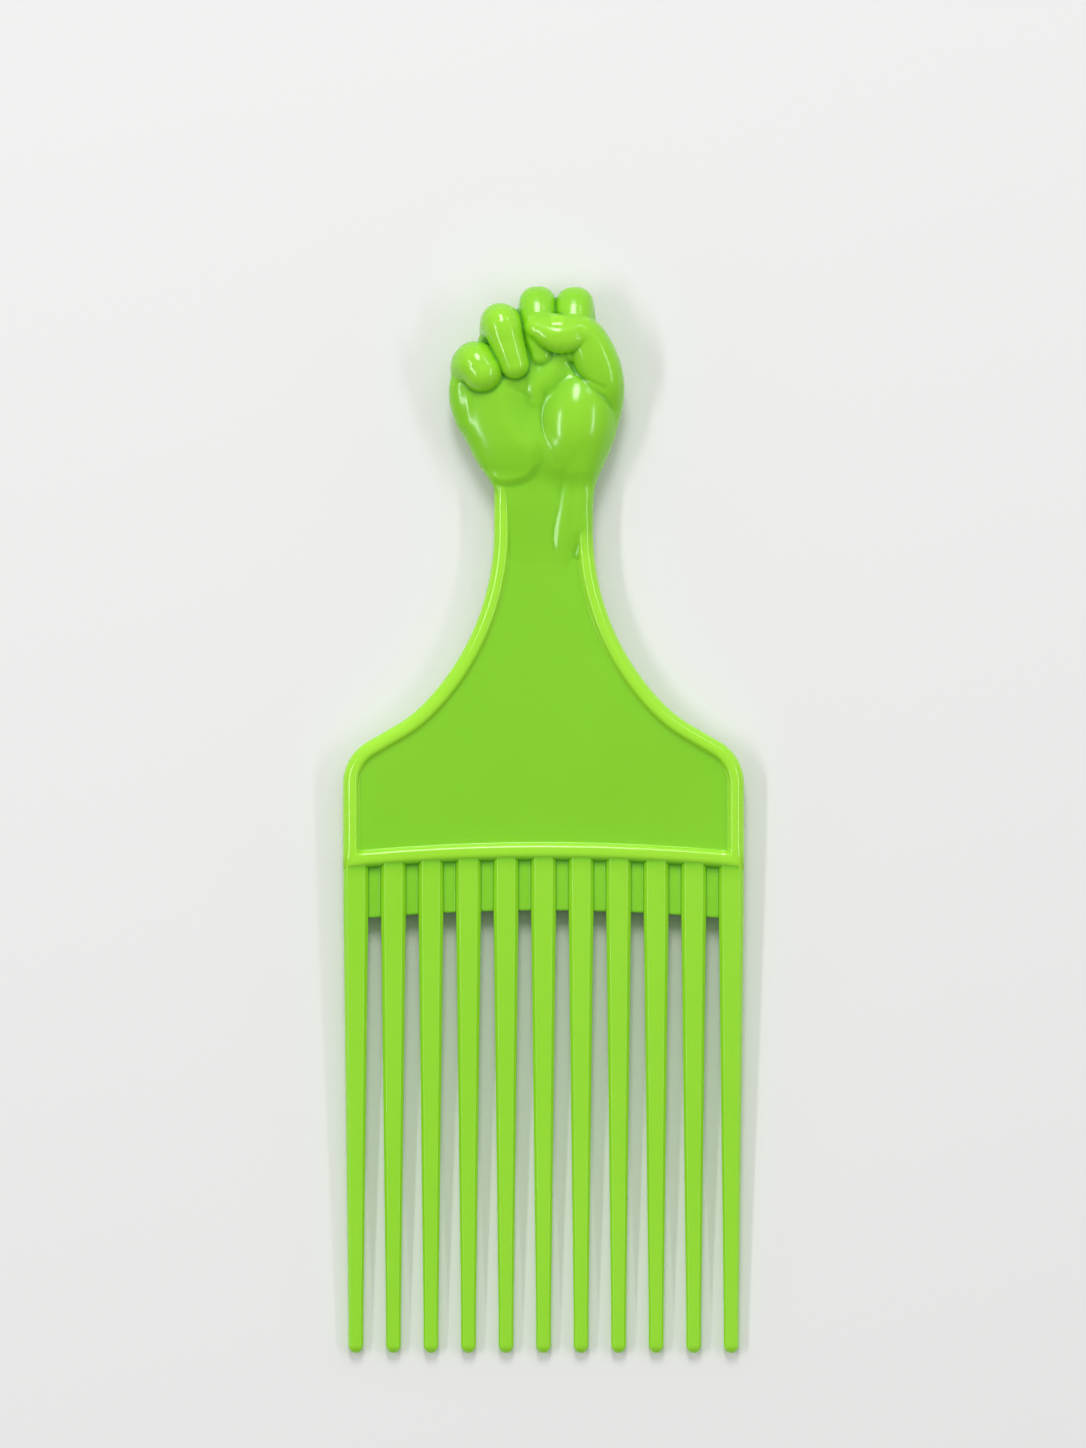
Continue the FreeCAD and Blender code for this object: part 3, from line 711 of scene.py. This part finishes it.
# Teeth
TOOTH_COUNT = 11
TOOTH_ROOT = (2.3, 2.0, 0.70)  # half width, half thickness, bevel
TOOTH_TIP = (1.37, 1.2, 0.42)
TOOTH_INSET = 0.05  # from the pick's edge to the outermost tooth
TOOTH_PITCH = 2 * (HALF_WIDTH - TOOTH_ROOT[0] - TOOTH_INSET) / (TOOTH_COUNT - 1)
ROOT_STRAIGHT = 8.5
TIP_STRAIGHT = 7.3
TOOTH_TOP = 1.3  # how far a tooth runs into the crossbar
TIP_RADIUS = 1.5
TIP_LEAD = 0.12  # from the dome's foot to the last ring above it
CORNER_RADIUS = 0.34  # at the root
CORNER_STEPS = 4
SIDE_LEAN_SHARE = 0.03  # how far a tooth's side leans in by its chamfer, in shares of the half width
SIDE_HEIGHT_SHARE = 0.60  # height of the chamfer's lower edge, in shares of the half thickness
SIDE_RADIUS_SHARE = 0.8
# Where a tooth has rings: heights above its root, where its painted shade changes fast, then evenly
NEAR_ROOT = (TOOTH_TOP, 1.0, 0.7, 0.4, 0.1, -0.3, -0.8, -1.4, -2.2)
EVEN_FROM = -3.2
EVEN_RINGS = 3
TAPER_STEPS = 24
DOME_RINGS = 11
DOME_TURN = math.pi / 2 * 0.97  # the dome's rings stop just short of its tip
TOOTH_HEIGHTS = (-2.4, -1.0, 0.0, 0.7)  # above a tooth's root, each with its value: painted shade near the root under the crossbar, painted light lower down
TOOTH_LIGHT_AND_SHADE = (0.55, 0.42, 0.10, -0.55)
OUTER_SIDE = 0.9  # how far in from the pick's edge a tooth keeps the painted light of its lower part, with no painted shade at its root


def tooth_ring(half_width, half_depth, bevel, radius):
    """A tooth's section: a flat front and back, a chamfer along each edge and upright sides.

    All its corners are rounded.
    """
    side_x = half_width - SIDE_LEAN_SHARE * half_width
    side = (side_x, half_depth * SIDE_HEIGHT_SHARE, radius * SIDE_RADIUS_SHARE)
    quarter = [(half_width, 0, radius), side, (half_width - bevel, half_depth, radius)]
    corners = quarter + [(-x, z, r) for x, z, r in quarter[:0:-1]]
    corners += [(-x, -z, r) for x, z, r in quarter] + [(x, -z, r) for x, z, r in quarter[:0:-1]]
    places = [np.array((x, z), float) for x, z, _ in corners]
    ring = []
    for i, here in enumerate(places):
        after = places[(i + 1) % len(places)]
        ring += corner_arc(places[i - 1], here, after, corners[i][2], CORNER_STEPS)
    return np.array(ring)


def tooth_sections(root_y):
    """Y, half width, half thickness, bevel and scale of each of a tooth's rings, from its top to its tip."""
    tip_y = -HALF_LENGTH
    taper_high, taper_low = CROSSBAR_Y - ROOT_STRAIGHT, tip_y + TIP_STRAIGHT
    straight = np.concatenate([root_y + np.array(NEAR_ROOT),
                               np.linspace(root_y + EVEN_FROM, taper_high, EVEN_RINGS)])
    sections = [(y, *TOOTH_ROOT, 1) for y in straight]
    for share in np.linspace(0, 1, TAPER_STEPS + 1)[1:]:
        sizes = (root + (tip - root) * share for root, tip in zip(TOOTH_ROOT, TOOTH_TIP))
        sections.append((taper_high + (taper_low - taper_high) * share, *sizes, 1))
    dome_y = tip_y + TIP_RADIUS
    sections.append((dome_y + TIP_LEAD, *TOOTH_TIP, 1))
    for angle in np.linspace(0, DOME_TURN, DOME_RINGS):
        sections.append((dome_y - TIP_RADIUS * math.sin(angle), *TOOTH_TIP, math.cos(angle)))
    return sections


def tooth_object(index, material):
    """One tooth, from inside the crossbar to its rounded tip."""
    x = (index - (TOOTH_COUNT - 1) / 2) * TOOTH_PITCH
    root_y = float(arch(x, CROSSBAR_Y, HALF_WIDTH))
    sections = tooth_sections(root_y)
    vertices, faces = [], []
    for y, half_width, half_depth, bevel, scale in sections:
        radius = CORNER_RADIUS * half_depth / TOOTH_ROOT[1]
        ring = tooth_ring(half_width, half_depth, bevel, radius) * scale
        vertices += [(x + px, y, MID_Z + pz) for px, pz in ring]
    count = len(ring)
    for i in range(len(sections) - 1):
        for j in range(count):
            k = (j + 1) % count
            faces.append((i * count + j, i * count + k, (i + 1) * count + k, (i + 1) * count + j))
    faces.append(list(range(count))[::-1])
    vertices.append((x, -HALF_LENGTH, MID_Z))
    start = (len(sections) - 1) * count
    for j in range(count):
        faces.append((start + j, start + (j + 1) % count, len(vertices) - 1))
    tooth = make_object(f"comb_tooth_{index + 1:02d}", vertices, faces, material)
    xs, ys = np.array(vertices)[:, 0], np.array(vertices)[:, 1]
    # painted shade near the root, painted light further down
    painted_light_and_shade = np.interp(ys - root_y, TOOTH_HEIGHTS, TOOTH_LIGHT_AND_SHADE)
    outer_side = np.abs(xs) > HALF_WIDTH - OUTER_SIDE
    set_lightness(tooth, np.where(outer_side, TOOTH_LIGHT_AND_SHADE[0], painted_light_and_shade))
    return tooth


# The webs between the teeth
WEB_DEPTH = 9.0
WEB_HALF = 0.9
WEB_OVERLAP = 0.62  # how far a web runs into its two teeth
WEB_EDGE = 0.45  # radius of its lower edges
EDGE_ANGLES = np.linspace(0, math.pi / 2, 6)
# Across a web in shares of its half width, with how far its fillets rise at each
WEB_ACROSS_SHARES = (-1, -0.80, -0.70, -0.64, -0.57, -0.48, 0, 0.48, 0.57, 0.64, 0.70, 0.80, 1)
WEB_RISE = (0.60, 0.45, 0.36, 0.22, 0.06, 0, 0, 0, 0.06, 0.22, 0.36, 0.45, 0.60)
WEB_LIGHTNESS = 0.0
# Painted shade down a web, darkest under the crossbar, each with its height above the teeth's roots
WEB_PAINTED_SHADES = ((0.6, -1.0), (0.1, -0.95), (-0.5, -0.55), (-1.1, -0.2), (-1.8, WEB_LIGHTNESS))
WEB_SIDE_SHARE = 0.5  # from here outward a web has painted shade beside the teeth
WEB_SIDE_PAINTED_SHADE = -0.45


def web_loop(x, lift):
    """Y and Z round a web at x, from its top in front, round its lower edge, to its top behind."""
    high = float(arch(x, CROSSBAR_Y, HALF_WIDTH))
    low = float(arch(x, CROSSBAR_Y - WEB_DEPTH, (TOOTH_COUNT - 1) / 2 * TOOTH_PITCH))
    top = WEB_HALF + lift
    loop = [(high + offset, top) for offset, _ in WEB_PAINTED_SHADES]
    for angle in EDGE_ANGLES:
        loop.append((low + WEB_EDGE * (1 - math.sin(angle)), top - WEB_EDGE * (1 - math.cos(angle))))
    return loop + [(y, -z) for y, z in loop[::-1]]


def webs_object(material):
    """The thin webs between the teeth.

    Each has a small fillet where it meets a tooth, and a rounded lower edge.
    """
    half_gap = TOOTH_PITCH / 2 - TOOTH_ROOT[0] + WEB_OVERLAP
    shades = [shade for _, shade in WEB_PAINTED_SHADES] + [WEB_LIGHTNESS] * len(EDGE_ANGLES)
    vertices, faces, values = [], [], []
    for gap in range(TOOTH_COUNT - 1):
        middle = (gap + 1 - TOOTH_COUNT / 2) * TOOTH_PITCH
        base = len(vertices)
        for share, lift in zip(WEB_ACROSS_SHARES, WEB_RISE):
            x = middle + share * half_gap
            loop = web_loop(x, lift)
            vertices += [(x, y, MID_Z + z) for y, z in loop]
            # painted shade beside the teeth
            side = WEB_SIDE_PAINTED_SHADE if abs(share) > WEB_SIDE_SHARE else 0
            values += [shade + side for shade in shades + shades[::-1]]
        size = len(loop)
        last = len(WEB_ACROSS_SHARES) - 1
        for i in range(last):
            for j in range(size):
                k = (j + 1) % size
                a, b = base + i * size, base + (i + 1) * size
                faces.append((a + j, a + k, b + k, b + j))
        faces.append([base + j for j in range(size)][::-1])
        faces.append([base + last * size + j for j in range(size)])
    webs = make_object("root_webs", vertices, faces, material)
    set_lightness(webs, values)
    return webs


# Shader helpers
def map_range(tree, source, low, high, source_low=0):
    """Spreads a source that runs from source_low to 1 between low and high."""
    node = tree.nodes.new("ShaderNodeMapRange")
    node.inputs["From Min"].default_value = source_low
    node.inputs["To Min"].default_value = low
    node.inputs["To Max"].default_value = high
    tree.links.new(source, node.inputs["Value"])
    return node.outputs["Result"]


def calculate(tree, operation, first, second):
    """One operation on two outputs, or on an output and a number."""
    node = tree.nodes.new("ShaderNodeMath")
    node.operation = operation
    tree.links.new(first, node.inputs[0])
    if isinstance(second, (int, float)):
        node.inputs[1].default_value = second
    else:
        tree.links.new(second, node.inputs[1])
    return node.outputs["Value"]


def mix_colours(tree, share, first, second):
    """The first colour with a share of the second. The colour sockets are 6 and 7, and 2 comes out."""
    node = tree.nodes.new("ShaderNodeMix")
    node.data_type = "RGBA"
    tree.links.new(share, node.inputs["Factor"])
    tree.links.new(first, node.inputs[6])
    tree.links.new(second, node.inputs[7])
    return node.outputs[2]


# Materials
PIGMENT_SCALE = 28
PIGMENT_STOPS = (0.32, 0.68)
# Two shades each of the plastic: its plain colour where it is flat, with painted light for the beads, teeth and
# high parts, and with painted shade for its valleys
FLAT_SHADES = ((0.232, 0.640, 0.011, 1), (0.250, 0.668, 0.016, 1))
PAINTED_LIGHT_TONES = ((0.360, 0.810, 0.024, 1), (0.385, 0.835, 0.034, 1))
PAINTED_SHADE_TONES = ((0.085, 0.400, 0.002, 1), (0.095, 0.425, 0.004, 1))
ROUGHNESS = (0.18, 0.25)
ROUGHNESS_SCALE = 160
BEAD_POLISH = 0.07  # how much smoother the beads are than the rest
PEEL_SCALE = 420


def plastic_material():
    material = bpy.data.materials.new("lime_moulded_plastic")
    material.use_nodes = True
    tree = material.node_tree
    shader = tree.nodes["Principled BSDF"]
    shader.inputs["IOR"].default_value = 1.54
    shader.inputs["Subsurface Weight"].default_value = 0.25
    shader.inputs["Subsurface Radius"].default_value = (0.9, 1.0, 0.25)
    shader.inputs["Subsurface Scale"].default_value = 0.0008
    place = tree.nodes.new("ShaderNodeTexCoord")

    def noise(scale, detail):
        node = tree.nodes.new("ShaderNodeTexNoise")
        node.inputs["Scale"].default_value = scale
        node.inputs["Detail"].default_value = detail
        tree.links.new(place.outputs["Object"], node.inputs["Vector"])
        return node.outputs["Fac"]

    def ramp(source, shades):
        node = tree.nodes.new("ShaderNodeValToRGB")
        for element, stop, shade in zip(node.color_ramp.elements, PIGMENT_STOPS, shades):
            element.position = stop
            element.color = shade
        tree.links.new(source, node.inputs["Fac"])
        return node.outputs["Color"]

    # slow drifts of pigment, as the melt flowed into the mould
    pigment = noise(PIGMENT_SCALE, detail=3)
    attribute = tree.nodes.new("ShaderNodeAttribute")
    attribute.attribute_name = "painted_light_and_shade"
    painted_light_and_shade = attribute.outputs["Fac"]
    # painted light is mixed in where the attribute is above 0, and painted shade where it is below 0
    colour = mix_colours(tree, painted_light_and_shade, ramp(pigment, FLAT_SHADES), ramp(pigment, PAINTED_LIGHT_TONES))
    depth = calculate(tree, "MULTIPLY", painted_light_and_shade, -1)
    colour = mix_colours(tree, depth, colour, ramp(pigment, PAINTED_SHADE_TONES))
    tree.links.new(colour, shader.inputs["Base Color"])
    # the beads are polished more than the hand
    rough = map_range(tree, noise(ROUGHNESS_SCALE, detail=4), *ROUGHNESS)
    polish = map_range(tree, painted_light_and_shade, 0, BEAD_POLISH)
    tree.links.new(calculate(tree, "SUBTRACT", rough, polish), shader.inputs["Roughness"])
    # orange peel of the polished mould
    peel = tree.nodes.new("ShaderNodeBump")
    peel.inputs["Strength"].default_value = 0.035
    peel.inputs["Distance"].default_value = 0.0004
    tree.links.new(noise(PEEL_SCALE, detail=2), peel.inputs["Height"])
    tree.links.new(peel.outputs["Normal"], shader.inputs["Normal"])
    return material


def floor_material():
    material = bpy.data.materials.new("pale_floor")
    material.use_nodes = True
    shader = material.node_tree.nodes["Principled BSDF"]
    shader.inputs["Base Color"].default_value = (0.83, 0.83, 0.825, 1)
    shader.inputs["Roughness"].default_value = 0.75
    shader.inputs["Specular IOR Level"].default_value = 0.2
    return material


# Floor, lights and camera
KNUCKLES_Y = 86.0  # where the back of the hand rests, at a height of zero
FLOOR_HALF = 2500.0  # half its side
FLOOR_GAP = 0.03  # how far the floor stays below what rests on it
# The tent's brightness near the table and overhead, and its shares on the near side and on the far side
TENT_LOW = 0.44
TENT_OVERHEAD = 0.475
TENT_NEAR_FAR_SHARES = (0.5, 1.5)
CAMERA_DISTANCE = 2.4
SENSOR_HEIGHT = 24.0
VIEW_HEIGHT = 262.8  # what the picture's height takes in at the parting plane
AIM = (-0.1, 17.4)


def add_floor():
    """A pale sheet under the pick, tipped so that the back of the hand and the tooth tips both lie on it."""
    slope = (MID_Z - TOOTH_TIP[1]) / (-HALF_LENGTH - KNUCKLES_Y)
    corners = [(-FLOOR_HALF, -FLOOR_HALF), (FLOOR_HALF, -FLOOR_HALF), (FLOOR_HALF, FLOOR_HALF),
               (-FLOOR_HALF, FLOOR_HALF)]
    vertices = [(x, y, slope * (y - KNUCKLES_Y) - FLOOR_GAP) for x, y in corners]
    floor = make_object("floor", vertices, [(0, 1, 2, 3)], floor_material(), smooth=False)


def area_light(name, place, target, width, height, power, shape="RECTANGLE"):
    """A lamp at a place in metres that faces its target, with its size in metres and its power in watts."""
    lamp = bpy.data.lights.new(name, "AREA")
    lamp.shape = shape
    lamp.size, lamp.size_y = width, height
    lamp.energy = power
    thing = bpy.data.objects.new(name, lamp)
    thing.location = place
    thing.rotation_euler = (Vector(target) - Vector(place)).to_track_quat("-Z", "Y").to_euler()
    bpy.context.scene.collection.objects.link(thing)


def add_lights():
    """Narrow lamps on both sides for the long highlights, and two beyond the knuckles, one the main lamp."""
    middle = (0, 0.02, 0)
    area_light("left_box", (-0.75, 0.02, 0.85), middle, 0.7, 0.085, 3.0)
    area_light("right_strip", (0.85, 0.02, 0.80), middle, 0.7, 0.075, 1.8)
    area_light("top_box", (-0.05, 0.92, 0.92), middle, 0.34, 0.60, 6.1, "ELLIPSE")
    area_light("top_right_strip", (0.55, 0.85, 0.75), middle, 0.30, 0.06, 0.55)


def add_tent():
    """The pale tent round the table: nearly even from low down to overhead, and brightest on the far side."""
    world = bpy.data.worlds.new("studio")
    bpy.context.scene.world = world
    world.use_nodes = True
    tree = world.node_tree
    place = tree.nodes.new("ShaderNodeTexCoord")
    split = tree.nodes.new("ShaderNodeSeparateXYZ")
    tree.links.new(place.outputs["Generated"], split.inputs["Vector"])
    height = map_range(tree, split.outputs["Z"], TENT_LOW, TENT_OVERHEAD)
    depth = map_range(tree, split.outputs["Y"], *TENT_NEAR_FAR_SHARES, source_low=-1)
    background = tree.nodes["Background"]
    background.inputs["Color"].default_value = (1, 1, 1, 1)
    tree.links.new(calculate(tree, "MULTIPLY", height, depth), background.inputs["Strength"])


def add_camera():
    """A camera that looks straight down on the palm side."""
    data = bpy.data.cameras.new("camera")
    data.sensor_fit = "VERTICAL"
    data.sensor_height = SENSOR_HEIGHT
    data.lens = SENSOR_HEIGHT * CAMERA_DISTANCE / (VIEW_HEIGHT * MM)
    data.clip_end = 20.0
    camera = bpy.data.objects.new("camera", data)
    aim_x, aim_y = AIM
    camera.location = (aim_x * MM, aim_y * MM, CAMERA_DISTANCE + MID_Z * MM)
    bpy.context.scene.collection.objects.link(camera)
    bpy.context.scene.camera = camera


# The scene
def dress(piece, *nodes):
    """Puts a piece on the one rigid body in place of its CAD nodes."""
    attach(piece, "root")
    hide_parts(*nodes)


add_camera()
plastic = plastic_material()

hand = hand_object(plastic)
dress(hand, "palm", "hand_back", "thumb_base", "thumb", "thumb_nail", "index_finger", "middle_finger",
      "ring_finger", "little_finger", "wrist", "wrist_tendon")
body = body_object(plastic)
dress(body, "crossbar", "rim_left", "rim_right", "panel")
for index in range(TOOTH_COUNT):
    dress(tooth_object(index, plastic), f"tooth_{index + 1:02d}")
dress(webs_object(plastic), "tooth_webs")

add_floor()
add_lights()
add_tent()
bpy.context.scene.view_settings.view_transform = "Standard"
